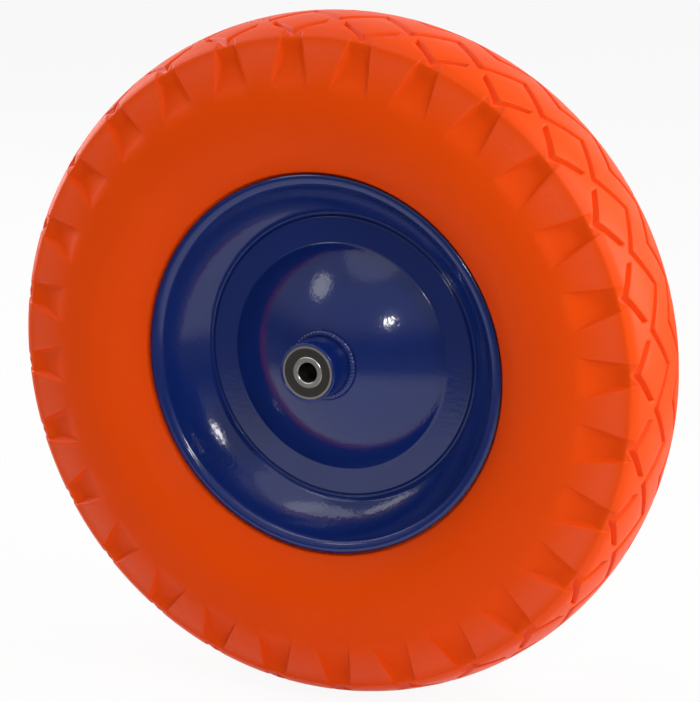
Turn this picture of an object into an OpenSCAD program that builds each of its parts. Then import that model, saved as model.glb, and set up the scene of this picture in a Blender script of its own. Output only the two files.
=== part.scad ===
// Flat-free wheel: a moulded foam tyre on a two-piece pressed steel rim, with a hub tube welded
// through the middle and a sealed ball bearing pressed into each end.
// Millimetres. The origin is the centre of the wheel, +Y is the axis it turns on, +Z is up.
// The front is the side that faces -Y. Every profile below is a list of [radius, y] points.

/* [Tyre] */
// outside diameter over the tread
tyre_od = 406; // [390:1:420]
// width of the tyre at its widest
tyre_w = 94.8; // [90:0.2:100]
// radius at which the tyre is widest
belly_r = 148; // [142:0.5:152]
// radius of the curve across the tread
crown_r = 80; // [74:1:100]
// gap between the edge of a rim flange and the tyre
flange_gap = 1.5; // [1:0.1:2.2]

/* [Tread] */
// tread pitches round the tyre
pitches = 28; // [26:2:30]
// turn of the pattern from the top of the wheel
tread_turn = -17; // [-20:0.1:20]
// width of the tread between its two shoulder edges
tread_w = 74.2; // [72:0.2:76]
// how far a shoulder edge lies under the top of the tread
shoulder_drop = 11.2; // [10.4:0.1:12]
// width of the bevel beside a shoulder edge
bevel_w = 3.6; // [2.8:0.1:4.4]
// how far under the top of the tread the lugs run out into the sidewall
run_out_drop = 37.5; // [34:0.5:40]
// width of the zigzag grooves
groove_w = 3.1; // [2.4:0.1:3.6]
// depth of the zigzag grooves
groove_d = 3.6; // [2:0.1:3.8]
// height of the shoulder lugs over the valleys between them
lug_h = 3.9; // [2.4:0.1:4.2]
// share of a pitch that a lug takes at the shoulder edge
lug_wide = 0.68; // [0.6:0.01:0.7]
// share of a pitch that a lug takes where it runs out
lug_narrow = 0.38; // [0.32:0.01:0.46]

/* [Rim] */
// diameter over the rim flanges
flange_od = 225; // [223:0.2:226]
// distance from the middle of the wheel to the outer face of a flange
flange_y = 30.8; // [29:0.1:32]
// thickness of the pressed steel
sheet_t = 1.8; // [1.2:0.1:2]
// width of the flat ring between the groove and the dome
disc_w = 15.2; // [12:0.1:18]
// distance from the middle of the wheel to the top of the dome
dome_y = 27.9; // [24:0.1:31]
// how far the dome bulges past a straight cone
dome_bow = 2.6; // [1:0.1:4]

/* [Hub] */
// wall of the hub tube round a bearing
tube_wall = 1.5; // [1.2:0.1:2.4]
// distance between the outer faces of the two bearings
hub_w = 97.2; // [92:0.2:102]
// how far the tube stands past each bearing
tube_lip = 0.4; // [0.2:0.1:0.8]
// height of the step in the tube that a bearing rests on
seat_step = 1.8; // [1:0.1:2.2]
// width of the weld bead where the dome meets the tube
weld_w = 3.8; // [2.6:0.1:4.6]
// height of the weld bead
weld_h = 1.5; // [1:0.1:2.2]

/* [Bearings] */
// outside diameter of a bearing
bearing_od = 32; // [31.9:0.1:32.2]
// bore of a bearing, which takes the axle
bearing_bore = 12; // [11.6:0.1:12.4]
// width of a bearing
bearing_w = 10; // [9.8:0.1:10.6]
// share of the bearing's width that a ball takes
ball_share = 0.5953; // [0.58:0.0001:0.6]
// thickness of the cage ribbon
cage_t = 0.45; // [0.3:0.05:0.5]
// wall of the spacer tube between the two bearings
spacer_wall = 1.8; // [1.4:0.1:2.6]

/* [Fits] */
// clearance between a ball and the bottom of its race
race_gap = 0.03; // [0.01:0.01:0.05]
// clearance between a ball and its pocket in the cage
pocket_gap = 0.07; // [0.04:0.01:0.1]
// radial clearance between a seal and the inner ring
seal_gap = 0.06; // [0.03:0.01:0.1]
// radial clearance between the axle and the spacer tube
spacer_gap = 0.2; // [0.1:0.05:0.4]

/* [Hidden] */

// balls in each bearing, one node each
ball_count = 7;

// steps round a turned piece, which only the quick preview shows
turn_steps = 96;
tyre_steps = 4 * pitches;

// tyre section
half_w = tyre_w / 2;
bead_r = flange_od / 2 + flange_gap;
bead_past_flange = 1.3;
bead_y = flange_y + bead_past_flange;
section_up = tyre_od / 2 - belly_r;
section_down = (belly_r - bead_r) / sqrt(1 - pow(bead_y / half_w, 2));
bead_a = 90 + asin((belly_r - bead_r) / section_down);
run_out_a = acos((section_up - run_out_drop) / section_up);
land_steps = 5;
lug_steps = 5;
wall_steps = 9;

// shoulder edge, the start of the bevel beside it, and the line of a lug's flat face from the shoulder
// edge to where it runs out
shoulder_y = tread_w / 2;
shoulder = [tyre_od / 2 - shoulder_drop, shoulder_y];
bevel_y = shoulder_y - bevel_w;
run_out = section(run_out_a);
face_in = [shoulder[1] - run_out[1], run_out[0] - shoulder[0]] / norm(run_out - shoulder);

// valley between two lugs: how its depth fades out, and how its top rises in a cove
valley_fade = 2.4;
cove_keep = 0.75;
cove_reach = 0.25;
cove_steps = [0, 0.05, 0.12];
// how far a lug is rooted in the tyre, and how far the ends of its faces sink below the surface
lug_root = 1.4;
lug_sink = 0.1;

// tread pattern: distances as shares of the shoulder's distance from the middle, arms as shares of a pitch
pitch_a = 360 / pitches;
outer_tip = 0.92;
outer_end = 0.63;
inner_tip = 0.5;
inner_end = 0.11;
outer_arm = 0.38;
inner_arm = 0.505;
// how far a groove cutter stands over the tread
cutter_stand = 4;

// flange: its slight cone, and the bend to the bead seat
flange_r = flange_od / 2;
flange_w = 3.9;
flange_fall = 0.8;
lip_w = 2;
lip_fall = 1;
bend_w = 1.2;
bend_fall = 1.8;

// bead seat and wall, down to the groove
wall_top = [flange_r - flange_w - lip_w - bend_w, flange_fall + lip_fall + bend_fall - flange_y];
wall_w = 17.5;
wall_foot_y = 2.5;
wall_foot = [wall_top[0] - wall_w, -sheet_t - wall_foot_y];
wall_bow = 2.1;
wall_points = 5;

// groove where the two halves touch, the step beside it and the flat ring
groove_lead = 1.3;
groove_rise = 1;
groove_lead_rise = 0.7;
land_r = wall_foot[0] - groove_lead - groove_lead_rise;
land_w = 1.2;
step_w = 1.3;
step_h = 1.6;
step_r = land_r - land_w - step_w;
disc_y = -sheet_t - step_h;

// dome
dome_lead = 1.6;
dome_lead_rise = 1.2;
dome_r = step_r - disc_w - dome_lead;
dome_points = 8;
weld_drop = 1;
// the last point of the sheet's back that the tyre reaches
seat_last = 6;

// hub tube
bearing_r = bearing_od / 2;
half_b = bearing_w / 2;
tube_r = bearing_r + tube_wall;
tube_end = hub_w / 2 + tube_lip;
bearing_y = hub_w / 2 - half_b;
seat_y = bearing_y - half_b;

// bearing rings
bore_r = bearing_bore / 2;
edge = 0.4;
ball_d = ball_share * bearing_w;
ball_r = ball_d / 2;
pitch_r = (bearing_r + bore_r) / 2;
inner_shoulder = 1.8;
outer_shoulder = 1.9;
inner_r = pitch_r - inner_shoulder;
outer_r = pitch_r + outer_shoulder;
race_over_ball = 0.08;
race_r = ball_r + race_over_ball;
race_shift = race_over_ball - race_gap;

// cage
pocket_r = ball_r + pocket_gap;
cage_half_w = 1;
cage_in = pitch_r - cage_half_w;
cage_out = pitch_r + cage_half_w;
rivet_r = 0.5;
head_r = 0.8;
head_h = 0.3;
head_top = 0.7;

// seals
seal_seat = 1.6;
seal_r = bearing_r - seal_seat;
seal_in = 0.35;
seal_room = 0.2535;
seal_floor = pocket_r + cage_t + seal_room;
seal_rim = 0.7;
seal_slope = 0.4;
seal_dip = 0.2;
seal_lip = 0.6;

// a point round the oval of the sidewall, at angle a from the top
function section(a) = [belly_r + (a < 90 ? section_up : section_down) * cos(a), half_w * sin(a)];

// the tread's radius at a distance y from the middle
function tread_r(y) = tyre_od / 2 - crown_r + sqrt(crown_r * crown_r - y * y);

// how deep a valley lies under the flat faces of the lugs, from 0 at the shoulder to 1 where they run out
function valley_depth(t) =
  lug_h * (1 - pow(t, valley_fade)) * (1 - cove_keep * pow(max(0, 1 - t / cove_reach), 2));

// a point on the line of a lug's face, and a point of a valley sunk by a further d
function face_at(t) = shoulder + (run_out - shoulder) * t;
function valley(t, d = 0) = face_at(t) + face_in * (valley_depth(t) + d);

// the other side of the wheel, and a list in reverse
function flip(points) = [for (p = points) [p[0], -p[1]]];
function backward(points) = [for (i = [len(points) - 1 : -1 : 0]) points[i]];

// a run of points from p to q that bows to its left
function bowed(p, q, bow, steps) = [
  for (i = [0 : steps])
    let (t = i / steps, d = q - p)
      p + d * t + [-d[1], d[0]] / norm(d) * bow * 4 * t * (1 - t)
];

// the right-hand normal of the line from p to q
function right_of(p, q) = [q[1] - p[1], p[0] - q[0]] / norm(q - p);

// the point at distance t to the right of corner b
function mitre(a, b, c, t) =
  let (m = right_of(a, b), n = right_of(b, c))
    b + (m + n) * t / (1 + m * n);

// a point on the line through p, along q - r, at radius x
function at_radius(p, q, r, x) = [x, p[1] + (x - p[0]) * (q[1] - r[1]) / (q[0] - r[0])];

// front face of the sheet, from the flange edge to the hub tube
rim_face = concat(
  [
    [flange_r, -flange_y],
    [flange_r - flange_w, flange_fall - flange_y],
    [flange_r - flange_w - lip_w, flange_fall + lip_fall - flange_y]
  ],
  bowed(wall_top, wall_foot, -wall_bow, wall_points),
  [
    [land_r + groove_lead_rise, -sheet_t - groove_rise],
    [land_r, -sheet_t],
    [land_r - land_w, -sheet_t],
    [step_r, disc_y],
    [dome_r + dome_lead, disc_y]
  ],
  bowed([dome_r, disc_y - dome_lead_rise], [tube_r + weld_w, weld_drop - dome_y], dome_bow, dome_points),
  [[tube_r, -dome_y]]
);
rim_last = len(rim_face) - 1;
rim_mid = [for (i = [1 : rim_last - 1]) mitre(rim_face[i - 1], rim_face[i], rim_face[i + 1], sheet_t)];

// back face of the sheet, which the tyre sits on
rim_back = concat(
  [at_radius(rim_mid[0], rim_face[0], rim_face[1], flange_r)],
  rim_mid,
  [at_radius(rim_mid[rim_last - 2], rim_face[rim_last - 1], rim_face[rim_last], tube_r)]
);

// one side of the tyre's outside, from the crown to the bead
tyre_side = [
  for (i = [1 : land_steps]) let (y = bevel_y * i / land_steps) [tread_r(y), y],
  for (t = cove_steps) valley(t),
  for (i = [1 : lug_steps]) valley(i / lug_steps),
  for (i = [1 : wall_steps]) section(run_out_a + (bead_a - run_out_a) * i / wall_steps),
  [bead_r, -rim_back[0][1]]
];
tyre_seat = [for (i = [0 : seat_last]) rim_back[i]];

// turns a closed profile round the axle
module turned(points, steps = turn_steps) {
  rotate([-90, 0, 0])
    rotate_extrude($fn = steps)
      polygon(points);
}

// places a bearing piece at the front end, or its mirror image at the back end
module front() {
  translate([0, -bearing_y, 0])
    children();
}

module back() {
  mirror([0, 1, 0])
    front()
      children();
}

// repeats a piece round the axle, starting at the top
module round_axle(count) {
  for (i = [0 : count - 1])
    rotate([0, i * 360 / count, 0])
      children();
}

// a V of groove between two distances from the middle, with arms of a given share of a pitch
module groove(tip, end, arm) {
  y0 = tip * shoulder_y;
  y1 = end * shoulder_y;
  slope = atan((tread_r(y1) - tread_r(y0)) / (y1 - y0));
  mid_y = (y0 + y1) / 2;
  mid_r = (tread_r(y0) + tread_r(y1)) / 2;
  reach = mid_r * sin(arm * pitch_a);
  sag = mid_r - mid_r * cos(arm * pitch_a);
  rise = (y1 - y0) / cos(slope);
  half = groove_w / 2 / cos(atan(rise / reach));
  translate([0, mid_y, mid_r])
    rotate([slope, 0, 0])
      translate([0, 0, -groove_d - sag / 3])
        linear_extrude(groove_d + sag + cutter_stand)
          polygon([
            [-reach, rise / 2 - half],
            [0, -rise / 2 - half],
            [reach, rise / 2 - half],
            [reach, rise / 2 + half],
            [0, -rise / 2 + half],
            [-reach, rise / 2 + half]
          ]);
}

// the grooves of one side: separate Vs at the shoulder, and a closed zigzag inside them
module half_grooves() {
  round_axle(pitches) {
    groove(-outer_tip, -outer_end, outer_arm);
    rotate([0, pitch_a / 2, 0])
      groove(-inner_tip, -inner_end, inner_arm);
  }
}

// a tapered block across the shoulder, seen from the side of the wheel
module lug_taper() {
  low = run_out[0] - lug_root;
  high = tyre_od / 2;
  wide = shoulder[0] * sin(lug_wide * pitch_a / 2);
  narrow = run_out[0] * sin(lug_narrow * pitch_a / 2);
  flare = (wide - narrow) / (shoulder[0] - run_out[0]);
  x_low = narrow + flare * (low - run_out[0]);
  x_high = narrow + flare * (high - run_out[0]);
  rotate([90, 0, 0])
    linear_extrude(tyre_w)
      polygon([[-x_low, low], [x_low, low], [x_high, high], [-x_high, high]]);
}

// the shoulder lugs of one side, cut from a ring that stands on the sidewall
module half_lugs() {
  intersection() {
    turned(flip(concat(
      [[tread_r(bevel_y) - lug_sink, bevel_y], shoulder, run_out + face_in * lug_sink],
      [for (i = [lug_steps : -1 : 0]) valley(i / lug_steps, lug_root)],
      [[tread_r(bevel_y) - lug_h, bevel_y]]
    )), tyre_steps);
    rotate([0, pitch_a / 2, 0])
      round_axle(pitches)
        lug_taper();
  }
}

// both sides carry the same pattern, half a pitch apart
module both_treads() {
  rotate([0, tread_turn, 0])
    children();
  rotate([0, tread_turn + pitch_a / 2, 0])
    mirror([0, 1, 0])
      children();
}

module foam_tyre() {
  color([0.95, 0.3, 0.08])
    difference() {
      union() {
        turned(concat(
          backward(tyre_seat),
          backward(flip(tyre_side)),
          [[tyre_od / 2, 0]],
          tyre_side,
          flip(tyre_seat)
        ), tyre_steps);
        both_treads()
          half_lugs();
      }
      both_treads()
        half_grooves();
    }
}

module rim_half() {
  color([0.1, 0.15, 0.5])
    turned(concat(rim_face, backward(rim_back)));
}

module hub_tube() {
  color([0.1, 0.15, 0.5])
    turned([
      [tube_r, -tube_end],
      [bearing_r, -tube_end],
      [bearing_r, -seat_y],
      [bearing_r - seat_step, -seat_y],
      [bearing_r - seat_step, seat_y],
      [bearing_r, seat_y],
      [bearing_r, tube_end],
      [tube_r, tube_end]
    ]);
}

module hub_weld() {
  color([0.1, 0.15, 0.5])
    turned([
      [tube_r, -dome_y],
      [tube_r + weld_w, weld_drop - dome_y],
      [tube_r + weld_w * 0.8, weld_drop - dome_y - weld_h * 0.7],
      [tube_r + weld_w * 0.4, -dome_y - weld_h * 0.8],
      [tube_r, -dome_y - weld_h]
    ]);
}

module bearing_spacer() {
  color([0.6, 0.6, 0.6])
    turned([
      [bore_r + spacer_gap, -seat_y],
      [bore_r + spacer_gap + spacer_wall, -seat_y],
      [bore_r + spacer_gap + spacer_wall, seat_y],
      [bore_r + spacer_gap, seat_y]
    ]);
}

// the round groove that the balls run in
module race(r) {
  rotate([-90, 0, 0])
    rotate_extrude($fn = turn_steps)
      translate([r, 0])
        circle(r = race_r, $fn = 32);
}

module inner_ring() {
  color([0.7, 0.7, 0.7])
    difference() {
      turned([
        [bore_r, edge - half_b],
        [bore_r + edge, -half_b],
        [inner_r - edge, -half_b],
        [inner_r, edge - half_b],
        [inner_r, half_b - edge],
        [inner_r - edge, half_b],
        [bore_r + edge, half_b],
        [bore_r, half_b - edge]
      ]);
      race(pitch_r + race_shift);
    }
}

module outer_ring() {
  color([0.7, 0.7, 0.7])
    difference() {
      turned([
        [bearing_r, edge - half_b],
        [bearing_r - edge, -half_b],
        [seal_r, -half_b],
        [seal_r, -seal_floor],
        [outer_r, -seal_floor],
        [outer_r, seal_floor],
        [seal_r, seal_floor],
        [seal_r, half_b],
        [bearing_r - edge, half_b],
        [bearing_r, half_b - edge]
      ]);
      race(pitch_r - race_shift);
    }
}

// a rubber disc with a shallow recess, pressed into the outer ring
module seal() {
  face_y = seal_in - half_b;
  color([0.12, 0.11, 0.09])
    turned([
      [seal_r, -seal_floor],
      [seal_r, face_y],
      [seal_r - seal_rim, face_y],
      [seal_r - seal_rim - seal_slope, face_y + seal_dip],
      [inner_r + seal_lip + seal_slope, face_y + seal_dip],
      [inner_r + seal_lip, face_y],
      [inner_r + seal_gap, face_y + seal_dip / 2],
      [inner_r + seal_gap, -seal_floor]
    ]);
}

// half of the ribbon cage, on the side that faces out of the hub
module cage_half() {
  color([0.75, 0.72, 0.65])
    difference() {
      intersection() {
        turned([[cage_in, -half_b], [cage_out, -half_b], [cage_out, 0], [cage_in, 0]]);
        union() {
          turned([
            [cage_in - cage_half_w, -cage_t],
            [cage_out + cage_half_w, -cage_t],
            [cage_out + cage_half_w, cage_t],
            [cage_in - cage_half_w, cage_t]
          ]);
          round_axle(ball_count)
            translate([0, 0, pitch_r])
              sphere(r = pocket_r + cage_t, $fn = 32);
        }
      }
      round_axle(ball_count)
        translate([0, 0, pitch_r])
          sphere(r = pocket_r, $fn = 32);
      rotate([0, 180 / ball_count, 0])
        round_axle(ball_count)
          translate([0, 0, pitch_r])
            rotate([90, 0, 0])
              cylinder(r = rivet_r, h = half_b, center = true, $fn = 24);
    }
}

// the rivets that hold the two halves of a cage together
module cage_rivets() {
  color([0.75, 0.72, 0.65])
    rotate([0, 180 / ball_count, 0])
      round_axle(ball_count)
        translate([0, 0, pitch_r])
          turned([
            [0, -cage_t - head_h],
            [head_r * head_top, -cage_t - head_h],
            [head_r, -cage_t],
            [rivet_r, -cage_t],
            [rivet_r, cage_t],
            [head_r, cage_t],
            [head_r * head_top, cage_t + head_h],
            [0, cage_t + head_h]
          ], 24);
}

module ball(number) {
  color([0.85, 0.85, 0.87])
    rotate([0, (number - 1) * 360 / ball_count, 0])
      translate([0, 0, pitch_r])
        sphere(d = ball_d, $fn = 32);
}

foam_tyre();
rim_half();  // front_rim_half
mirror([0, 1, 0]) rim_half();  // back_rim_half
hub_tube();
hub_weld();  // front_hub_weld
mirror([0, 1, 0]) hub_weld();  // back_hub_weld
bearing_spacer();
front() inner_ring();  // front_inner_ring
front() outer_ring();  // front_outer_ring
front() seal();  // front_outboard_seal
front() mirror([0, 1, 0]) seal();  // front_inboard_seal
front() cage_half();  // front_outboard_cage
front() mirror([0, 1, 0]) cage_half();  // front_inboard_cage
front() cage_rivets();  // front_cage_rivets
front() ball(1);  // front_ball_1
front() ball(2);  // front_ball_2
front() ball(3);  // front_ball_3
front() ball(4);  // front_ball_4
front() ball(5);  // front_ball_5
front() ball(6);  // front_ball_6
front() ball(7);  // front_ball_7
back() inner_ring();  // back_inner_ring
back() outer_ring();  // back_outer_ring
back() seal();  // back_outboard_seal
back() mirror([0, 1, 0]) seal();  // back_inboard_seal
back() cage_half();  // back_outboard_cage
back() mirror([0, 1, 0]) cage_half();  // back_inboard_cage
back() cage_rivets();  // back_cage_rivets
back() ball(1);  // back_ball_1
back() ball(2);  // back_ball_2
back() ball(3);  // back_ball_3
back() ball(4);  // back_ball_4
back() ball(5);  // back_ball_5
back() ball(6);  // back_ball_6
back() ball(7);  // back_ball_7
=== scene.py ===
"""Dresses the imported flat-free wheel: foam tyre, painted rim, hub and bearings.

Everything is in metres in the shared frame: the origin is the centre of the wheel, +Y is the axis it turns on and
+Z is up. The photographed side faces -Y. Sizes are kept in millimetres, as on the part's own drawing, and are
turned to metres when a mesh is made.
"""
import logging
import math
from dataclasses import dataclass, field
from enum import Enum

import bpy
import numpy as np
from mathutils import Matrix, Vector


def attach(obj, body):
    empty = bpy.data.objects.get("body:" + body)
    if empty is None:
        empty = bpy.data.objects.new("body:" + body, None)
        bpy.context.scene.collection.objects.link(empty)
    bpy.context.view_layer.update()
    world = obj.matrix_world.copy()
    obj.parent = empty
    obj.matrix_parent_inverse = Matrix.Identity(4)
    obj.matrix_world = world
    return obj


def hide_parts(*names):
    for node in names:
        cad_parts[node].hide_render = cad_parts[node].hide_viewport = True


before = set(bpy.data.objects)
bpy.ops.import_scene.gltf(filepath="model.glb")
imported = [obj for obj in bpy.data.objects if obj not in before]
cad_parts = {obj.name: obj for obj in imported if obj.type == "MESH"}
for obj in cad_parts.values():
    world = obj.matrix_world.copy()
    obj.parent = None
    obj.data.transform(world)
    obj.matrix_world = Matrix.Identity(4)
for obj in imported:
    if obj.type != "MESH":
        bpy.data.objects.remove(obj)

Point = tuple[float, float]
Links = dict[str | int, bpy.types.NodeSocket]

MM = 0.001
LOG = logging.getLogger("flat_free_wheel")
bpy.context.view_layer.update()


class Body(Enum):
    """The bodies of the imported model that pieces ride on."""

    AXLE = "axle_side"
    WHEEL = "wheel"


class Side(Enum):
    """The two faces of the wheel, with the sign of y that each faces."""

    FRONT = -1
    BACK = 1

    def node(self, piece: str) -> str:
        """The name of a node on this side."""
        return f"{self.name.lower()}_{piece}"


def linear(hex_code: str) -> tuple[float, float, float, float]:
    """Turns an sRGB colour into the linear values that a shader takes.

    Args:
        hex_code: the colour as #rrggbb.

    Returns:
        Linear red, green and blue, and an alpha of 1.
    """
    values = [int(hex_code[i:i + 2], 16) / 255 for i in (1, 3, 5)]
    return (*(v / 12.92 if v <= 0.04045 else ((v + 0.055) / 1.055) ** 2.4 for v in values), 1.0)


def add_node(
    tree: bpy.types.NodeTree,
    kind: str,
    settings: dict[str, object] | None = None,
    values: dict[str | int, object] | None = None,
    links: Links | None = None,
) -> bpy.types.ShaderNode:
    """Adds a node with its settings, its socket values and its links.

    Args:
        tree: the tree that the node goes into.
        kind: the node's type name.
        settings: properties of the node itself.
        values: default values of its inputs, by name or number.
        links: the sockets that feed its inputs, by name or number.

    Returns:
        The new node.
    """
    node = tree.nodes.new(kind)
    for key, value in (settings or {}).items():
        setattr(node, key, value)
    for key, value in (values or {}).items():
        node.inputs[key].default_value = value
    for key, socket in (links or {}).items():
        tree.links.new(socket, node.inputs[key])
    return node


@dataclass(frozen=True)
class Finish:
    """What every finish has: the material's name, and the name of the slot that it stands for."""

    name: str
    slot: str

    def material(self) -> bpy.types.Material:
        """Makes the material, or returns the one already made."""
        found = bpy.data.materials.get(self.name)
        if found:
            return found
        made = bpy.data.materials.new(self.name)
        made.use_nodes = True
        tree = made.node_tree
        tree.nodes.clear()
        shader = add_node(tree, "ShaderNodeBsdfPrincipled")
        add_node(tree, "ShaderNodeOutputMaterial", links={"Surface": shader.outputs[0]})
        self.dress(tree, shader)
        return made

    def dress(self, tree: bpy.types.NodeTree, shader: bpy.types.ShaderNode) -> None:
        """Feeds the shader; each finish has its own way."""
        raise NotImplementedError

    def place(self, tree: bpy.types.NodeTree) -> bpy.types.NodeSocket:
        """Gives a point on the piece, in metres of the shared frame."""
        return add_node(tree, "ShaderNodeTexCoord").outputs["Object"]


@dataclass(frozen=True)
class MouldedFoam(Finish):
    """Self-skinned polyurethane foam, cast in a metal mould.

    The skin is satin, its colour drifts a little where it cooled unevenly, and the lug faces carry the fine
    spark-eroded grain of the mould.
    """

    base: str = "#ef4c05"
    drift: str = "#ea4804"
    roughness: float = 0.42
    gloss: float = 0.06
    grain_gloss: float = 0.4
    cloud_mm: float = 45.0
    pore_mm: float = 1.6
    grain_mm: float = 1.1

    def dress(self, tree: bpy.types.NodeTree, shader: bpy.types.ShaderNode) -> None:
        """Feeds the shader with drifting colour, pores and the mould's grain."""
        here = self.place(tree)
        cloud = add_node(tree, "ShaderNodeTexNoise", None,
                         {"Scale": 1000 / self.cloud_mm, "Detail": 2.0, "Roughness": 0.5}, {"Vector": here})
        tint = add_node(tree, "ShaderNodeMix", {"data_type": "RGBA"}, {6: linear(self.base), 7: linear(self.drift)},
                        {0: cloud.outputs["Fac"]})
        tree.links.new(tint.outputs[2], shader.inputs["Base Color"])
        shader.inputs["Roughness"].default_value = self.roughness
        shader.inputs["IOR"].default_value = 1.5
        pores = add_node(tree, "ShaderNodeTexNoise", None,
                         {"Scale": 1000 / self.pore_mm, "Detail": 3.0, "Roughness": 0.6}, {"Vector": here})
        skin = add_node(tree, "ShaderNodeBump", None, {"Strength": 0.12, "Distance": 0.0003},
                        {"Height": pores.outputs["Fac"]})
        pits = add_node(tree, "ShaderNodeTexVoronoi", {"feature": "F1"}, {"Scale": 1000 / self.grain_mm},
                        {"Vector": here})
        mask = add_node(tree, "ShaderNodeAttribute", {"attribute_name": "grain"})
        sheen = add_node(tree, "ShaderNodeMapRange", None, {"To Min": self.gloss, "To Max": self.grain_gloss},
                         {"Value": mask.outputs["Fac"]})
        tree.links.new(sheen.outputs[0], shader.inputs["Specular IOR Level"])
        depth = add_node(tree, "ShaderNodeMath", {"operation": "MULTIPLY"}, None,
                         {0: pits.outputs["Distance"], 1: mask.outputs["Fac"]})
        grain = add_node(tree, "ShaderNodeBump", None, {"Strength": 0.35, "Distance": 0.0004},
                         {"Height": depth.outputs[0], "Normal": skin.outputs[0]})
        tree.links.new(grain.outputs[0], shader.inputs["Normal"])


@dataclass(frozen=True)
class BakedEnamel(Finish):
    """Baked powder enamel on pressed steel: deep blue, glossy, with a slight orange peel."""

    base: str = "#112a72"
    shade: str = "#0f2568"
    roughness: float = 0.12
    peel_mm: float = 2.2

    def dress(self, tree: bpy.types.NodeTree, shader: bpy.types.ShaderNode) -> None:
        """Feeds the shader with the film's drift in colour and its orange peel."""
        here = self.place(tree)
        film = add_node(tree, "ShaderNodeTexNoise", None, {"Scale": 1000 / 30.0, "Detail": 2.0}, {"Vector": here})
        tint = add_node(tree, "ShaderNodeMix", {"data_type": "RGBA"}, {6: linear(self.base), 7: linear(self.shade)},
                        {0: film.outputs["Fac"]})
        tree.links.new(tint.outputs[2], shader.inputs["Base Color"])
        shader.inputs["Roughness"].default_value = self.roughness
        shader.inputs["IOR"].default_value = 1.5
        peel = add_node(tree, "ShaderNodeTexNoise", None,
                        {"Scale": 1000 / self.peel_mm, "Detail": 1.0, "Roughness": 0.4}, {"Vector": here})
        skin = add_node(tree, "ShaderNodeBump", None, {"Strength": 0.55, "Distance": 0.00012},
                        {"Height": peel.outputs["Fac"]})
        tree.links.new(skin.outputs[0], shader.inputs["Normal"])


@dataclass(frozen=True)
class TurnedSteel(Finish):
    """Steel with fine marks that run round the axle, as left by grinding or turning."""

    base: str = "#948f85"
    roughness: float = 0.3
    mark_mm: float = 0.35
    depth_mm: float = 0.01

    def dress(self, tree: bpy.types.NodeTree, shader: bpy.types.ShaderNode) -> None:
        """Feeds the shader with rings round the axle."""
        here = self.place(tree)
        split = add_node(tree, "ShaderNodeSeparateXYZ", links={0: here})
        flat = add_node(tree, "ShaderNodeCombineXYZ", links={0: split.outputs[0], 1: split.outputs[2]})
        radius = add_node(tree, "ShaderNodeVectorMath", {"operation": "LENGTH"}, links={0: flat.outputs[0]})
        line = add_node(tree, "ShaderNodeCombineXYZ", links={0: radius.outputs["Value"], 1: split.outputs[1]})
        marks = add_node(tree, "ShaderNodeTexNoise", None, {"Scale": 1000 / self.mark_mm, "Detail": 2.0},
                         {"Vector": line.outputs[0]})
        shader.inputs["Metallic"].default_value = 1.0
        shader.inputs["Base Color"].default_value = linear(self.base)
        rough = add_node(tree, "ShaderNodeMapRange", None,
                         {"To Min": self.roughness - 0.08, "To Max": self.roughness + 0.08},
                         {"Value": marks.outputs["Fac"]})
        tree.links.new(rough.outputs[0], shader.inputs["Roughness"])
        cut = add_node(tree, "ShaderNodeBump", None, {"Strength": 0.4, "Distance": self.depth_mm * MM},
                       {"Height": marks.outputs["Fac"]})
        tree.links.new(cut.outputs[0], shader.inputs["Normal"])


@dataclass(frozen=True)
class MouldedRubber(Finish):
    """Nitrile rubber of a bearing seal: brown-black and matt, with a fine moulded grain."""

    base: str = "#191611"
    worn: str = "#231f18"
    roughness: float = 0.55
    grain_mm: float = 0.5

    def dress(self, tree: bpy.types.NodeTree, shader: bpy.types.ShaderNode) -> None:
        """Feeds the shader with the grain of the seal."""
        here = self.place(tree)
        grain = add_node(tree, "ShaderNodeTexNoise", None, {"Scale": 1000 / self.grain_mm, "Detail": 3.0},
                         {"Vector": here})
        tint = add_node(tree, "ShaderNodeMix", {"data_type": "RGBA"}, {6: linear(self.base), 7: linear(self.worn)},
                        {0: grain.outputs["Fac"]})
        tree.links.new(tint.outputs[2], shader.inputs["Base Color"])
        shader.inputs["Roughness"].default_value = self.roughness
        skin = add_node(tree, "ShaderNodeBump", None, {"Strength": 0.3, "Distance": 0.0001},
                        {"Height": grain.outputs["Fac"]})
        tree.links.new(skin.outputs[0], shader.inputs["Normal"])


FOAM = MouldedFoam("moulded_polyurethane_foam", "orange_foam")
ENAMEL = BakedEnamel("baked_blue_enamel", "blue_painted_steel")
RING_STEEL = TurnedSteel("ground_ring_steel", "ground_bearing_steel", base="#aba7a4", roughness=0.34)
ZINC = TurnedSteel("zinc_plated_tube", "zinc_plated_steel", base="#5d5c58", roughness=0.5, mark_mm=0.6)
CAGE_STEEL = TurnedSteel("blanked_cage_steel", "pressed_cage_steel", base="#a39a86", roughness=0.42)
BALL_STEEL = TurnedSteel("lapped_ball_steel", "polished_ball_steel", base="#dcdcde", roughness=0.14)
SEAL = MouldedRubber("moulded_seal_rubber", "black_seal_rubber")


def rounded(points: list[Point], radii: dict[int, float], steps: int = 5) -> list[Point]:
    """Rounds the corners of an open run of points.

    Args:
        points: the corners, in millimetres.
        radii: the length taken off each side of a corner, by its number.
        steps: how many points each rounded corner gets.

    Returns:
        The run with its corners rounded.
    """
    found: list[Point] = [points[0]]
    for i in range(1, len(points) - 1):
        a, b, c = (Vector(points[j]) for j in (i - 1, i, i + 1))
        reach = min(radii.get(i, 0.0), (a - b).length * 0.48, (c - b).length * 0.48)
        if reach <= 0:
            found.append(tuple(b))
            continue
        start, end = b + (a - b).normalized() * reach, b + (c - b).normalized() * reach
        for k in range(steps + 1):
            t = k / steps
            found.append(tuple(start * (1 - t) ** 2 + b * 2 * t * (1 - t) + end * t ** 2))
    return found + [points[-1]]


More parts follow.
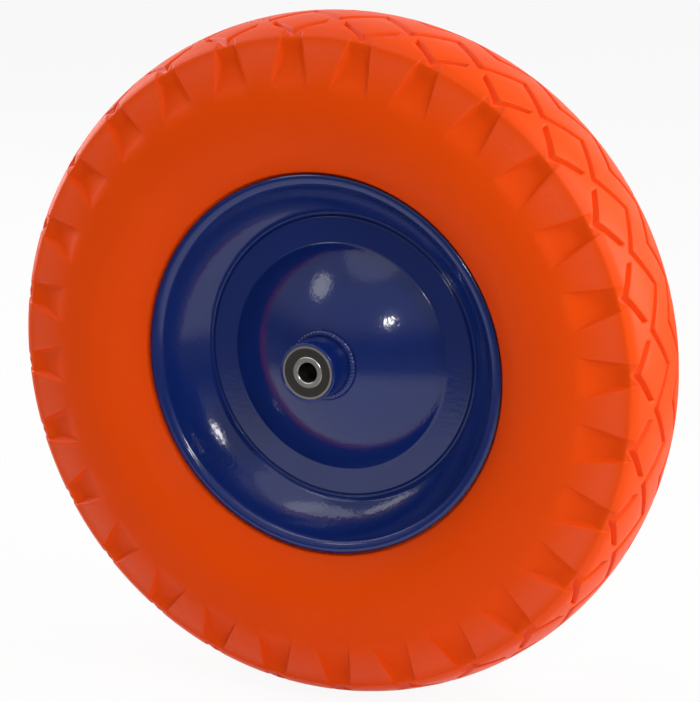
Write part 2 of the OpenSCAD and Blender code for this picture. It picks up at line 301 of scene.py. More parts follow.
def bowed(p: Point, q: Point, bow: float, steps: int) -> list[Point]:
    """A run of points from p to q that bows to its left."""
    start, along = Vector(p), Vector(q) - Vector(p)
    left = Vector((-along.y, along.x)).normalized()
    return [tuple(start + along * t + left * bow * 4 * t * (1 - t)) for t in (i / steps for i in range(steps + 1))]


def offset(points: list[Point], distance: float) -> list[Point]:
    """The run of points that lies a distance to the right of another run."""
    found = []
    for i, here in enumerate(points):
        before, after = points[max(i - 1, 0)], points[min(i + 1, len(points) - 1)]
        m = Vector((here[1] - before[1], before[0] - here[0])) if i else None
        n = Vector((after[1] - here[1], here[0] - after[0])) if i < len(points) - 1 else None
        m, n = (m or n).normalized(), (n or m).normalized()
        found.append(tuple(Vector(here) + (m + n) * distance / (1 + m.dot(n))))
    return found


def put(name: str, verts: np.ndarray, faces: list[tuple[int, ...]], body: Body, finish: Finish,
        nodes: tuple[str, ...], grain: np.ndarray | None = None) -> bpy.types.Object:
    """Makes a piece of the wheel that rides on a body and stands for its nodes.

    Args:
        name: the piece's name.
        verts: its points, in millimetres.
        faces: its faces, as numbers of points.
        body: the body that carries it.
        finish: the finish it gets.
        nodes: the nodes that it stands for.
        grain: how much of the mould's grain shows at each point.

    Returns:
        The new object.
    """
    mesh = bpy.data.meshes.new(name)
    mesh.from_pydata((verts * MM).tolist(), [], faces)
    mesh.polygons.foreach_set("use_smooth", [True] * len(mesh.polygons))
    if grain is not None:
        mesh.attributes.new("grain", "FLOAT", "POINT").data.foreach_set("value", grain.astype(np.float32))
    mesh.materials.append(finish.material())
    mesh.update()
    piece = bpy.data.objects.new(name, mesh)
    bpy.context.scene.collection.objects.link(piece)
    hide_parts(*nodes)
    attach(piece, body.value)
    LOG.info("%s: %d faces on %s", name, len(faces), body.value)
    return piece


def turn(profile: list[Point], segments: int, side: Side) -> tuple[np.ndarray, list[tuple[int, ...]]]:
    """Turns a closed profile round the axle.

    Args:
        profile: [radius, y] points in millimetres as they lie on the front side.
        segments: how many steps the turn takes.
        side: the side it is made for.

    Returns:
        The points and the faces, which face outwards.
    """
    ring = np.array(profile)
    count = len(ring)
    theta = np.arange(segments) * 2 * math.pi / segments
    verts = np.stack([
        np.outer(np.sin(theta), ring[:, 0]),
        np.broadcast_to(-side.value * ring[:, 1], (segments, count)),
        np.outer(np.cos(theta), ring[:, 0]),
    ], axis=-1).reshape(-1, 3)
    area = sum(a[0] * b[1] - b[0] * a[1] for a, b in zip(profile, profile[1:] + profile[:1]))
    faces = []
    for s in range(segments):
        u, v = s * count, (s + 1) % segments * count
        for k in range(count):
            n = (k + 1) % count
            quad = (u + k, v + k, v + n, u + n)
            faces.append(quad if (area > 0) == (side is Side.FRONT) else quad[::-1])
    return verts, faces


@dataclass
class RimHalf:
    """One pressed dish of the rim: flange, bead seat, wall, groove, step, disc and dome."""

    side: Side
    flange_r: float = 112.5
    flange_y: float = 30.8
    sheet: float = 1.8
    dome_r: float = 66.6
    dome_y: float = 27.9
    dome_bow: float = 2.6
    wall_bow: float = 2.1
    tube_r: float = 17.5
    weld_w: float = 3.8
    segments: int = 288
    wall_steps: int = 16
    dome_steps: int = 28

    def face(self) -> list[Point]:
        """The corners of the face that shows, from the flange's edge to the hub tube."""
        fr, fy, t = self.flange_r, self.flange_y, self.sheet
        foot = (fr - 24.6, -t - 2.5)
        land = foot[0] - 2
        step = land - 1.2 - 1.3
        disc = -t - 1.6
        head = [(fr, -fy), (fr - 3.9, 0.8 - fy), (fr - 5.9, 1.8 - fy)]
        wall = bowed((fr - 7.1, 3.6 - fy), foot, -self.wall_bow, self.wall_steps)
        floor = [(land + 0.7, -t - 1), (land, -t), (land - 1.2, -t), (step, disc), (self.dome_r + 1.6, disc)]
        dome = bowed((self.dome_r, disc - 1.2), (self.tube_r + self.weld_w, 1 - self.dome_y), self.dome_bow,
                     self.dome_steps)
        corners = head + wall + floor + dome + [(self.tube_r, -self.dome_y)]
        first_wall, first_floor, first_dome = len(head), len(head) + len(wall), len(head) + len(wall) + len(floor)
        radii = {1: 1.8, 2: 1.2, first_wall: 1.0, first_floor - 1: 1.2, first_floor: 0.8, first_floor + 1: 0.5,
                 first_floor + 2: 0.5, first_floor + 3: 0.6, first_floor + 4: 1.4, first_dome: 1.2}
        return rounded(corners, radii, 4)

    def build(self) -> bpy.types.Object:
        """Makes the dish, with the sheet's own thickness and a rounded edge."""
        front = self.face()
        back = offset(front, self.sheet)
        edge = [(self.flange_r - 0.25, back[0][1] + 0.02), (self.flange_r - 0.02, back[0][1] - 0.3),
                (self.flange_r, -self.flange_y + 0.5), (self.flange_r - 0.12, -self.flange_y + 0.12)]
        back = [p for p in back if self.tube_r <= p[0] <= self.flange_r - 0.5]
        profile = front[1:] + [(self.tube_r, back[-1][1])] + back[::-1] + edge
        verts, faces = turn(profile, self.segments, self.side)
        return put(self.side.node("painted_dish"), verts, faces, Body.WHEEL, ENAMEL, (self.side.node("rim_half"),))


@dataclass
class FoamTyre:
    """The solid tyre: a zigzag tread, bevelled shoulders, flat-faced lugs and an oval sidewall.

    One pitch is built as columns that follow the edges of the pattern and is repeated round the wheel. Along a
    pitch, 0 is the tip of a shoulder V and a half is the middle of a lug.
    """

    od: float = 406.0
    width: float = 94.8
    belly_r: float = 148.0
    crown_r: float = 80.0
    bead_r: float = 114.0
    bead_y: float = 32.1
    pitches: int = 28
    turn_deg: float = -17.0
    tread_w: float = 74.2
    shoulder_drop: float = 11.2
    bevel_w: float = 3.6
    run_out_drop: float = 37.5
    groove_w: float = 3.1
    groove_d: float = 3.6
    lug_h: float = 3.9
    lug_wide: float = 0.68
    lug_narrow: float = 0.38
    outer_tip: float = 0.92
    outer_end: float = 0.63
    inner_tip: float = 0.5
    inner_end: float = 0.11
    outer_arm: float = 0.38
    cove_keep: float = 0.75
    cove_reach: float = 0.33
    draft: float = 0.6
    groove_flare: float = 0.5
    eased: float = 0.1
    bevel_eased: float = 0.3
    land_grain: float = 0.3
    columns: np.ndarray = field(init=False)

    def __post_init__(self) -> None:
        """Works out the section and the columns of half a pitch."""
        self.half_w = self.width / 2
        self.up = self.od / 2 - self.belly_r
        self.down = (self.belly_r - self.bead_r) / math.sqrt(1 - (self.bead_y / self.half_w) ** 2)
        self.bead_a = 90 + math.degrees(math.asin((self.belly_r - self.bead_r) / self.down))
        self.run_out_a = math.degrees(math.acos((self.up - self.run_out_drop) / self.up))
        self.pitch = 2 * math.pi / self.pitches
        self.shoulder = np.array([self.od / 2 - self.shoulder_drop, self.tread_w / 2])
        self.run_out = self.section(np.array([self.run_out_a]))[0]
        self.down_face = self.run_out - self.shoulder
        self.face_in = np.array([-self.down_face[1], self.down_face[0]]) / np.hypot(*self.down_face)
        self.bevel_y = self.shoulder[1] - self.bevel_w
        self.columns = np.array([0, 0.018, 0.06, 0.11, 0.13, 0.15, 0.17, 0.18, 0.24, 0.31, 0.345, 0.366, 0.374, 0.380,
                                 0.387, 0.42, 0.46, 0.5])
        self.wall_at = slice(3, 8)

    def section(self, angle: np.ndarray) -> np.ndarray:
        """Points of the sidewall's oval, as radius and distance from the middle, at angles from the top."""
        c, s = np.cos(np.radians(angle)), np.sin(np.radians(angle))
        return np.stack([self.belly_r + np.where(c >= 0, self.up, self.down) * c, self.half_w * s], -1)

    def tread_r(self, y: np.ndarray | float) -> np.ndarray | float:
        """The tread's radius at a distance from the middle."""
        return self.od / 2 - self.crown_r + np.sqrt(self.crown_r ** 2 - np.asarray(y) ** 2)

    def valley(self, t: float) -> float:
        """How deep a valley lies under the lugs' faces, from the shoulder at 0 to the lugs' end at 1."""
        part = min(1.0, t / self.cove_reach)
        return self.lug_h * (1 - t ** 2.4) * (1 - self.cove_keep * (1 - part * part * (3 - 2 * part)))

    def lip(self, low: np.ndarray) -> tuple[np.ndarray, np.ndarray]:
        """Where the bevel ends, as radius and distance, with 1 in a valley and 0 on a lug."""
        drop = self.valley(0) * low
        return self.shoulder[0] + self.face_in[0] * drop, self.shoulder[1] + self.face_in[1] * drop

    def top(self, y: np.ndarray, low: np.ndarray) -> np.ndarray:
        """The radius of the land and its bevel before any groove is cut.

        Args:
            y: distances from the middle.
            low: 1 in a valley and 0 on a lug, at each distance.

        Returns:
            The radius at each distance, with the bevel's edge a little eased.
        """
        start = float(self.tread_r(self.bevel_y))
        end_r, end_y = self.lip(low)
        slope = (start - end_r) / (end_y - self.bevel_y)
        radius = np.where(y < self.bevel_y, self.tread_r(np.minimum(y, self.bevel_y)),
                          start - slope * (y - self.bevel_y))
        return radius - self.bevel_eased * np.clip(1 - np.abs(y - self.bevel_y) / 2, 0, 1) ** 2

    def lug_columns(self, radius: float, height: float) -> tuple[np.ndarray, np.ndarray]:
        """Places the columns of half a pitch where a lug's wall runs.

        Args:
            radius: the radius of the row.
            height: how far the lug stands over the valley there.

        Returns:
            The place of each column along the pitch, and 1 in the valley falling to 0 on the lug.
        """
        ends = [r * math.sin(share * self.pitch / 2)
                for r, share in ((self.shoulder[0], self.lug_wide), (self.run_out[0], self.lug_narrow))]
        half = ends[1] + (ends[0] - ends[1]) * (radius - self.run_out[0]) / -self.down_face[0]
        length = radius * self.pitch
        edge = 0.5 - math.asin(half / radius) / self.pitch
        wall = max(self.draft * height, 0.4) / length
        spots = edge + np.array([-1.35 * wall - 0.004, -wall, -0.5 * wall, 0.0, 0.45 / length])
        first, last = self.columns[self.wall_at][0], self.columns[self.wall_at][-1]
        u = np.interp(self.columns, [0, first, last, 0.5], [0, spots[0], spots[-1], 0.5])
        u[self.wall_at] = spots
        low = np.ones(len(u))
        low[self.wall_at.stop:] = 0
        low[self.wall_at] = [1, 0.86, 0.5, 0.07, 0]
        return u, low

    def lug_row(self, t: float) -> tuple[np.ndarray, np.ndarray, np.ndarray, np.ndarray]:
        """One row of points across half a pitch, at a share of the way down a lug's face.

        Args:
            t: 0 at the shoulder and 1 where the lug runs out.

        Returns:
            The place along the pitch, the radius, the distance from the middle and the grain of each column.
        """
        base = self.shoulder + self.down_face * t
        depth = self.valley(t)
        u, low = self.lug_columns(float(base[0]), depth)
        sunk = self.eased * (1 - low) * (t == 0)
        grain = np.where(low < 0.05, min(1.0, 4 * t) * (1 - t), 0.0)
        return (u, base[0] + self.face_in[0] * depth * low - sunk, base[1] + self.face_in[1] * depth * low - sunk,
                grain)

    def groove_rows(self, line: np.ndarray, lean: float, share: np.ndarray, low: np.ndarray,
                    crest: float) -> list[tuple[np.ndarray, np.ndarray]]:
        """The rows across one groove.

        Args:
            line: the groove's own line, as a distance from the middle at each column.
            lean: the cosine of the angle between the groove and the tread's length.
            share: how much of the groove there is at each column.
            low: 1 in a valley and 0 on a lug, at each column.
            crest: the distance from the middle that no row goes past.

        Returns:
            Rows of radius and distance.
        """
        half, deep = self.groove_w / 2, self.groove_d
        flare = half + self.groove_flare
        wall = [(flare + 0.4, 0.0), (flare, 0.12), (flare - 0.2, 0.5), (half - 0.2, deep - 0.4), (half - 0.6, deep)]
        across = [(-x, d) for x, d in wall] + [(x, d) for x, d in wall[::-1]]
        rows = []
        for k, (x, d) in enumerate(across):
            y = np.minimum(line + x / lean, crest - 0.1 * (len(across) - 1 - k))
            land = self.top(y, low)
            rows.append((land - share * d / deep * (land - self.tread_r(y) + deep), y))
        return rows

    def half_pitch(self) -> list[tuple[np.ndarray, np.ndarray, np.ndarray, np.ndarray]]:
        """Every row of the pattern on one side, from near the crown to the lugs' end."""
        u, s, worn = self.columns, self.shoulder[1], np.full(len(self.columns), self.land_grain)
        length = self.pitch * (self.od / 2 - 2)
        tip, end = self.inner_tip * s, self.inner_end * s
        zig = end + (tip - end) * 2 * u
        lean = math.cos(math.atan((tip - end) / (0.5 * length)))
        middle = (tip - end) * (4 * u - 1) / 2
        tip, end = self.outer_tip * s, self.outer_end * s
        fall = (tip - end) / self.outer_arm
        vee_lean = math.cos(math.atan(fall / length))
        share = np.interp(u, [self.outer_arm - 0.014, self.outer_arm - 0.006, self.outer_arm, self.outer_arm + 0.007],
                          [1, 0.93, 0.12, 0])
        low = np.interp(u, [0.125, 0.15], [1, 0])
        clear = self.groove_w / 2 + self.groove_flare + 0.4
        crest = float(self.lip(np.ones(1))[1][0]) - 0.2

        def vee(place: np.ndarray) -> np.ndarray:
            """The line of the shoulder V at places along the pitch."""
            return np.where(place <= self.outer_arm, tip - fall * place, end + (place - self.outer_arm) * 10)

        flat: list[tuple[np.ndarray, np.ndarray]] = []
        inner = zig - clear / lean
        between = [middle + (inner - middle) * k for k in (0.35, 0.7)]
        flat += [(self.top(line, low), line) for line in between]
        flat += self.groove_rows(zig, lean, np.ones(len(u)), low, crest)
        outer, inner = zig + clear / lean, vee(u) - clear / vee_lean
        between = [outer + (inner - outer) * k for k in (0.33, 0.67)]
        flat += [(self.top(line, low), line) for line in between]
        flat += self.groove_rows(vee(u), vee_lean, share, low, crest)
        rows = [(u, radius, line, worn) for radius, line in flat]
        for k, part in enumerate((-0.35, 0.0, 0.35, 0.9)):
            radius = float(self.tread_r(self.bevel_y)) * (1 - part) + float(self.shoulder[0]) * part
            place, sunk = self.lug_columns(radius, self.valley(0) * max(part, 0.0))
            line = self.bevel_y + part * (self.lip(sunk)[1] - self.bevel_y)
            line = np.maximum(line, np.minimum(vee(place) + clear / vee_lean, crest) + 0.035 * (k + 1))
            rows.append((place, self.top(line, sunk), line, worn))
        return rows + [self.lug_row(t) for t in (0, 0.018, 0.05, 0.1, 0.16, 0.24, 0.35, 0.48, 0.62, 0.76, 0.89, 1.0)]

    def sidewall(self) -> list[Point]:
        """The bare sidewall from the lugs' end to the bead, and the seat under the rim."""
        run = [(float(a), float(b)) for a, b in self.section(np.linspace(self.run_out_a, self.bead_a, 17)[1:])]
        run[-1] = (self.bead_r + 0.55, self.bead_y + 0.5)
        run += [(self.bead_r + 0.1, self.bead_y - 0.1), (self.bead_r, self.bead_y - 0.9), (self.bead_r, 29.1)]
        seat = [(108.6, 28.2), (106.8, 26.3), (104.0, 20.5), (98.5, 12.0), (92.0, 5.5), (87.3, 2.4), (85.6, 0.6)]
        return run + seat

    def build(self) -> bpy.types.Object:
        """Makes the whole tyre as one closed mesh."""
        rows = self.half_pitch()
        wide = len(self.columns)
        around = 2 * (wide - 1)
        few = [0, 1, 2, 5, 9, 17, 25, 29, 32, 33]
        seat = self.sidewall()
        verts: list[np.ndarray] = []
        grains: list[np.ndarray] = []
        faces: list[tuple[int, ...]] = []
        rings: dict[tuple[Side, int], np.ndarray] = {}
        total = 0

        def ring(u: np.ndarray, r: np.ndarray, y: np.ndarray, grain: np.ndarray, side: Side) -> np.ndarray:
            """Repeats the points of one pitch round the wheel and returns their numbers."""
            nonlocal total
            shift = 0.0 if side is Side.FRONT else 0.5
            k = np.arange(self.pitches)[:, None]
            theta = math.radians(self.turn_deg) + (k + u[None, :] + shift) * self.pitch
            wide_r, wide_y = np.broadcast_to(r, theta.shape), np.broadcast_to(side.value * y, theta.shape)
            verts.append(np.stack([wide_r * np.sin(theta), wide_y, wide_r * np.cos(theta)], -1).reshape(-1, 3))
            grains.append(np.broadcast_to(grain, theta.shape).reshape(-1))
            numbers = np.arange(total, total + theta.size)
            total += theta.size
            return numbers

        def whole(half: np.ndarray) -> np.ndarray:
            """Mirrors the values of half a pitch into a whole one."""
            return np.concatenate([half, half[-2:0:-1]])

        def strip(a: np.ndarray, b: np.ndarray, side: Side) -> None:
            """Joins two rings of equal length with quads."""
            for i in range(len(a)):
                j = (i + 1) % len(a)
                quad = (a[i], a[j], b[j], b[i])
                faces.append(tuple(int(q) for q in (quad if side is Side.BACK else quad[::-1])))

        for side in Side:
            numbers = []
            for u, r, y, grain in rows:
                place = np.concatenate([u, 1 - u[-2:0:-1]])
                numbers.append(ring(place, whole(r), whole(y), whole(grain), side))
            for a, b in zip(numbers, numbers[1:]):
                strip(a, b, side)
            rings[side, 0] = numbers[0]
            u = np.concatenate([rows[-1][0], 1 - rows[-1][0][-2:0:-1]])
            thin = u[few]
            wall = [ring(thin, np.full(len(few), r), np.full(len(few), y), np.zeros(len(few)), side) for r, y in seat]
            last, first = numbers[-1], wall[0]
            for k in range(self.pitches):
                for j, start in enumerate(few):
                    stop = few[j + 1] if j + 1 < len(few) else around
                    top = [int(last[(k * around + m) % len(last)]) for m in range(start, stop + 1)]
                    low = [int(first[(k * len(few) + j + 1) % len(first)]), int(first[k * len(few) + j])]
                    face = tuple(top + low)
                    faces.append(face if side is Side.BACK else face[::-1])
            for a, b in zip(wall, wall[1:]):
                strip(a, b, side)
            rings[side, 1] = wall[-1]
        self.zip_crown(rings[Side.FRONT, 0], rings[Side.BACK, 0], np.concatenate(verts), faces)
        self.zip_crown(rings[Side.BACK, 1], rings[Side.FRONT, 1], np.concatenate(verts), faces)
        return put("moulded_tyre", np.concatenate(verts), faces, Body.WHEEL, FOAM, ("foam_tyre",),
                   np.concatenate(grains))

    def zip_crown(self, a: np.ndarray, b: np.ndarray, verts: np.ndarray, faces: list[tuple[int, ...]]) -> None:
        """Joins two rings whose points don't face each other with triangles.

        Args:
            a: the numbers of the first ring's points.
            b: the numbers of the second ring's points.
            verts: all points, in millimetres.
            faces: the list of faces, which grows.
        """
        start = math.radians(self.turn_deg)
        turns = [np.sort((np.arctan2(verts[r, 0], verts[r, 2]) - start) % (2 * math.pi)) for r in (a, b)]
        rings = [r[np.argsort((np.arctan2(verts[r, 0], verts[r, 2]) - start) % (2 * math.pi))] for r in (a, b)]
        i = j = 0
        while i < len(a) or j < len(b):
            here, there = int(rings[0][i % len(a)]), int(rings[1][j % len(b)])
            next_a = turns[0][(i + 1) % len(a)] + (2 * math.pi if i + 1 >= len(a) else 0)
            next_b = turns[1][(j + 1) % len(b)] + (2 * math.pi if j + 1 >= len(b) else 0)
            if j >= len(b) or (i < len(a) and next_a <= next_b):
                faces.append((here, int(rings[0][(i + 1) % len(a)]), there))
                i += 1
            else:
                faces.append((here, int(rings[1][(j + 1) % len(b)]), there))
                j += 1


@dataclass
class Hub:
    """The hub tube, its two weld beads and the bearings in its ends."""

    tube_r: float = 17.5
    tube_end: float = 49.0
    bearing_r: float = 16.0
    seat_y: float = 38.6
    seat_step: float = 1.8
    dome_y: float = 27.9
    weld_w: float = 3.8
    weld_h: float = 1.5
    ripple_mm: float = 2.3
    ripple_h: float = 0.22

    def tube(self) -> bpy.types.Object:
        """Makes the tube with its machined seats and eased ends."""
        ease = 0.35
        half = [
            (self.bearing_r, -self.seat_y), (self.bearing_r, -self.tube_end + ease),
            (self.bearing_r + ease, -self.tube_end), (self.tube_r - 0.6, -self.tube_end),
            (self.tube_r - 0.2, -self.tube_end + 0.15), (self.tube_r, -self.tube_end + 0.6),
        ]
        profile = [(self.bearing_r - self.seat_step, -self.seat_y), *half, (self.tube_r, -10.0), (self.tube_r, 10.0),
                   *((r, -y) for r, y in half[::-1]), (self.bearing_r - self.seat_step, self.seat_y)]
        verts, faces = turn(profile, 160, Side.FRONT)
        return put("welded_hub_tube", verts, faces, Body.WHEEL, ENAMEL, ("hub_tube",))

    def weld(self, side: Side) -> bpy.types.Object:
        """Makes a weld bead whose ripples overlap like scales."""
        foot, top = (self.tube_r + self.weld_w, 1 - self.dome_y), (self.tube_r, -self.dome_y - self.weld_h)
        bead = bowed(foot, top, 0.95, 10)
        ripples = round(2 * math.pi * (self.tube_r + self.weld_w / 2) / self.ripple_mm)
        profile = bead + [(self.tube_r, -self.dome_y)]
        segments = ripples * 8
        verts, faces = turn(profile, segments, side)
        grid = verts.reshape(segments, len(profile), 3)
        theta = np.arange(segments)[:, None] * 2 * math.pi / segments
        across = np.linspace(-1, 1, len(bead))[None, :]
        wander = 0.5 * np.sin(3 * theta + 0.7) + 0.35 * np.sin(7 * theta + 2.1)
        phase = ripples * theta + 2.2 * (1 - across ** 2) + 1.2 * wander
        lift = self.ripple_h * (0.5 + 0.5 * np.cos(phase)) * (1 - across ** 4) * (1 + 0.4 * np.sin(5 * theta + 1))
        slope = Vector((self.weld_w, -(1 + self.weld_h))).normalized()
        out = np.array([slope.x * 0.6, 0.8 * side.value])
        grid[:, :len(bead), 1] += lift * out[1]
        radial = np.stack([np.sin(theta[:, 0]), np.cos(theta[:, 0])], -1)
        grid[:, :len(bead), 0] += lift * out[0] * radial[:, :1]
        grid[:, :len(bead), 2] += lift * out[0] * radial[:, 1:]
        return put(side.node("weld_bead"), grid.reshape(-1, 3), faces, Body.WHEEL, ENAMEL, (side.node("hub_weld"),))

    def bearings(self) -> None:
        """Gives the bearing pieces and the spacer, whose solids are already right, their finishes."""
        finishes = {"inner_ring": RING_STEEL, "outer_ring": RING_STEEL, "outboard_seal": SEAL, "inboard_seal": SEAL,
                    "outboard_cage": CAGE_STEEL, "inboard_cage": CAGE_STEEL, "cage_rivets": CAGE_STEEL}
        named = {side.node(piece): finish for side in Side for piece, finish in finishes.items()}
        named |= {side.node(f"ball_{i}"): BALL_STEEL for side in Side for i in range(1, 8)}
        named["bearing_spacer"] = ZINC
        for name, finish in named.items():
            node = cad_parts[name]
            node.data.materials.clear()
            node.data.materials.append(finish.material())
            LOG.info("%s: %s", name, finish.name)

    def build(self) -> None:
        """Makes the tube and welds, and dresses the bearings."""
        self.tube()
        for side in Side:
            self.weld(side)
        self.bearings()


def way_to(azimuth: float, elevation: float) -> Vector:
    """The unit vector from the wheel's centre towards a place in the studio.

    Args:
        azimuth: degrees from the wheel's front towards its right.
        elevation: degrees above the ground.

    Returns:
        The vector, in the shared frame.
    """
    az, el = math.radians(azimuth), math.radians(elevation)
    return Vector((math.sin(az) * math.cos(el), -math.cos(az) * math.cos(el), math.sin(el)))


@dataclass(frozen=True)
class Lamp:
    """One lamp that faces the wheel: the way to it, how far off it stands, how wide it is and how bright.

    The azimuth is counted from the wheel's front towards its right, as for the camera.
    """

    name: str
    azimuth: float
    elevation: float
    distance: float
    size: float
    power: float
    colour: str = "#ffffff"

    def build(self) -> bpy.types.Object:
        """Makes the lamp."""
        place = way_to(self.azimuth, self.elevation) * self.distance
        light = bpy.data.lights.new(self.name, "AREA")
        light.shape = "DISK"
        light.size = self.size
        light.energy = self.power
        light.color = linear(self.colour)[:3]
        lamp = bpy.data.objects.new(self.name, light)
        lamp.location = place
        lamp.rotation_euler = (-place).to_track_quat("-Z", "Y").to_euler()
        bpy.context.scene.collection.objects.link(lamp)
        return lamp


@dataclass
class Studio:
    """The camera where the photographer stood, a pale floor and soft light."""

    azimuth: float = 25.034
    elevation: float = 13.205
    roll: float = -0.373
    distance: float = 1659.4
    focal_px: float = 2815.1
    tall_px: float = 702.0
    aside: float = 4.06
    above: float = 2.40
    floor_z: float = -203.2
    fill: float = 0.06
    room: float = 0.14
    room_top: float = 0.55
    # Painted pool of light on the floor, seen only in reflections: full glow out to the first distance, fading to the
    # room's level by the second, in metres.
    painted_pool_reach: tuple[float, float] = (0.45, 0.85)
    lamps: tuple[Lamp, ...] = (
        Lamp("camera_flash", 21.8, 18.7, 1.70, 0.075, 2.4),
        Lamp("softbox_right", 56.0, 32.0, 1.8, 0.34, 7.0),
        Lamp("umbrella_left", -37.4, 33.8, 1.9, 0.45, 1.8),
        Lamp("strip_left", -98.0, 9.0, 1.8, 0.35, 2.0),
        Lamp("panel_over_right", 90.0, 40.0, 2.2, 1.4, 19.0),
        Lamp("panel_low_right", 110.0, 14.0, 2.2, 1.4, 27.0),
        Lamp("panel_over_left", -90.0, 40.0, 2.2, 1.4, 13.0),
        Lamp("panel_low_left", -105.0, 14.0, 2.2, 1.4, 18.0),
        Lamp("panel_top_left", -60.0, 70.0, 2.2, 1.4, 7.5),
        Lamp("panel_over_front", 0.0, 62.0, 2.6, 1.8, 5.0),
    )

    def camera(self) -> bpy.types.Object:
        """Makes the camera at the angle, distance and framing of the photograph."""
        az, roll = math.radians(self.azimuth), math.radians(self.roll)
        back = way_to(self.azimuth, self.elevation)
        right = Vector((math.cos(az), math.sin(az), 0.0))
        up = back.cross(right)
        right, up = right * math.cos(roll) + up * math.sin(roll), up * math.cos(roll) - right * math.sin(roll)
        lens = bpy.data.cameras.new("photo_camera")
        lens.sensor_width = 36.0
        lens.lens = self.focal_px * lens.sensor_width / self.tall_px
        lens.clip_end = 50.0
        camera = bpy.data.objects.new("photo_camera", lens)
        turned = Matrix((right, up, back)).transposed().to_4x4()
        camera.matrix_world = Matrix.Translation(
            (back * self.distance + right * self.aside + up * self.above) * MM) @ turned
        bpy.context.scene.collection.objects.link(camera)
        bpy.context.scene.camera = camera
        return camera

    def floor(self) -> bpy.types.Object:
        """Makes the pale floor, which shows as the white ground but keeps the wheel's shadow; in reflections it shows
        a painted pool of light round the wheel that fades to a dim level farther off.
        """
        reach = 6.0
        mesh = bpy.data.meshes.new("studio_floor")
        z = self.floor_z * MM
        mesh.from_pydata([(-reach, -reach, z), (reach, -reach, z), (reach, reach, z), (-reach, reach, z)], [],
                         [(0, 1, 2, 3)])
        made = bpy.data.materials.new("pale_paper_sweep")
        made.use_nodes = True
        tree = made.node_tree
        tree.nodes.clear()
        seen = self.seen(tree)
        grain = add_node(tree, "ShaderNodeTexNoise", None, {"Scale": 400.0}, None)
        tint = add_node(tree, "ShaderNodeMix", {"data_type": "RGBA"}, {6: linear("#f4f3f1"), 7: linear("#f0efed")},
                        {0: grain.outputs["Fac"]})
        paper = add_node(tree, "ShaderNodeBsdfDiffuse", links={"Color": tint.outputs[2]})
        here = add_node(tree, "ShaderNodeTexCoord").outputs["Object"]
        far = add_node(tree, "ShaderNodeVectorMath", {"operation": "LENGTH"}, links={0: here})
        near, edge = self.painted_pool_reach
        # Painted pool of light: the floor's glow is full near the wheel and dimmer farther off where reflections see
        # it, while the camera still sees it evenly white.
        painted_pool = add_node(tree, "ShaderNodeMapRange", {"interpolation_type": "SMOOTHSTEP"},
                       {"From Min": near, "From Max": edge, "To Min": 1.0, "To Max": self.room},
                       {"Value": far.outputs["Value"]})
        glow = add_node(tree, "ShaderNodeEmission", None, {"Color": linear("#ffffff")},
                        {"Strength": self.never_dim(tree, painted_pool.outputs[0])})
        share = add_node(tree, "ShaderNodeMath", {"operation": "MULTIPLY"}, {1: 0.93}, {0: seen})
        mixed = add_node(tree, "ShaderNodeMixShader", links={0: share.outputs[0], 1: paper.outputs[0],
                                                             2: glow.outputs[0]})
        add_node(tree, "ShaderNodeOutputMaterial", links={"Surface": mixed.outputs[0]})
        mesh.materials.append(made)
        floor = bpy.data.objects.new("studio_floor", mesh)
        bpy.context.scene.collection.objects.link(floor)
        return floor

    def never_dim(self, tree: bpy.types.NodeTree, strength: bpy.types.NodeSocket) -> bpy.types.NodeSocket:
        """Keeps the ground white where the camera sees it, whatever the wheel mirrors of it."""
        path = add_node(tree, "ShaderNodeLightPath")
        return add_node(tree, "ShaderNodeMath", {"operation": "MAXIMUM"}, None,
                        {0: strength, 1: path.outputs["Is Camera Ray"]}).outputs[0]

    def seen(self, tree: bpy.types.NodeTree) -> bpy.types.NodeSocket:
        """Gives 1 where the ground or the backdrop is seen, reflected or seen through glass, and 0 elsewhere."""
        path = add_node(tree, "ShaderNodeLightPath")
        first = add_node(tree, "ShaderNodeMath", {"operation": "ADD"}, None,
                         {0: path.outputs["Is Camera Ray"], 1: path.outputs["Is Glossy Ray"]})
        both = add_node(tree, "ShaderNodeMath", {"operation": "ADD", "use_clamp": True}, None,
                        {0: first.outputs[0], 1: path.outputs["Is Transmission Ray"]})
        return both.outputs[0]

    def backdrop(self) -> None:
        """Makes the world: white where it is seen, dimmer where the wheel mirrors the camera's end of the room.

        Where it lights, it is a plain soft fill.
        """
        world = bpy.data.worlds.new("white_backdrop")
        world.use_nodes = True
        tree = world.node_tree
        tree.nodes.clear()
        light = add_node(tree, "ShaderNodeBackground", None, {"Color": linear("#ffffff"), "Strength": self.fill})
        way = add_node(tree, "ShaderNodeTexCoord").outputs["Generated"]
        split = add_node(tree, "ShaderNodeSeparateXYZ", links={0: way})
        higher = add_node(tree, "ShaderNodeMapRange", {"interpolation_type": "SMOOTHSTEP"},
                          {"From Min": 0.02, "From Max": 0.36, "To Min": self.room, "To Max": self.room_top},
                          {"Value": split.outputs[2]})
        shown = add_node(tree, "ShaderNodeMapRange", {"interpolation_type": "SMOOTHSTEP"},
                         {"From Min": -0.1, "From Max": 0.35, "To Max": 1.0},
                         {"Value": split.outputs[1], "To Min": higher.outputs[0]})
        white = add_node(tree, "ShaderNodeBackground", None, {"Color": linear("#ffffff")},
                         {"Strength": self.never_dim(tree, shown.outputs[0])})
        mixed = add_node(tree, "ShaderNodeMixShader", links={0: self.seen(tree), 1: light.outputs[0],
                                                             2: white.outputs[0]})
        add_node(tree, "ShaderNodeOutputWorld", links={"Surface": mixed.outputs[0]})
        bpy.context.scene.world = world

    def build(self) -> None:
        """Sets up the camera, the floor, the backdrop and the lamps."""
        self.camera()
        self.floor()
        self.backdrop()
        for lamp in self.lamps:
            lamp.build()
        bpy.context.scene.view_settings.view_transform = "Standard"


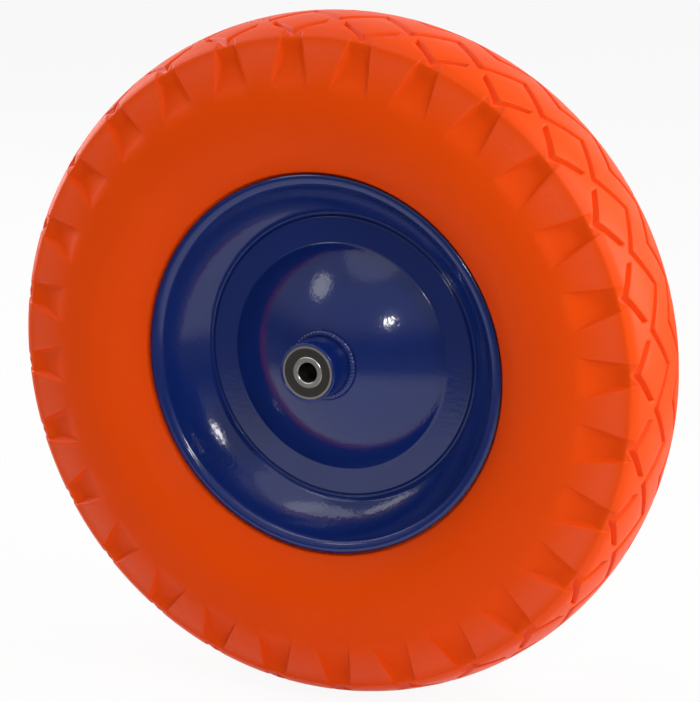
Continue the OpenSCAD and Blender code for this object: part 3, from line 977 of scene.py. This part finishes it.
def main() -> None:
    """Builds the studio and the wheel."""
    logging.basicConfig(level=logging.INFO, format="%(name)s: %(message)s")
    Studio().build()
    FoamTyre().build()
    for side in Side:
        RimHalf(side).build()
    Hub().build()


if __name__ == "__main__":
    main()
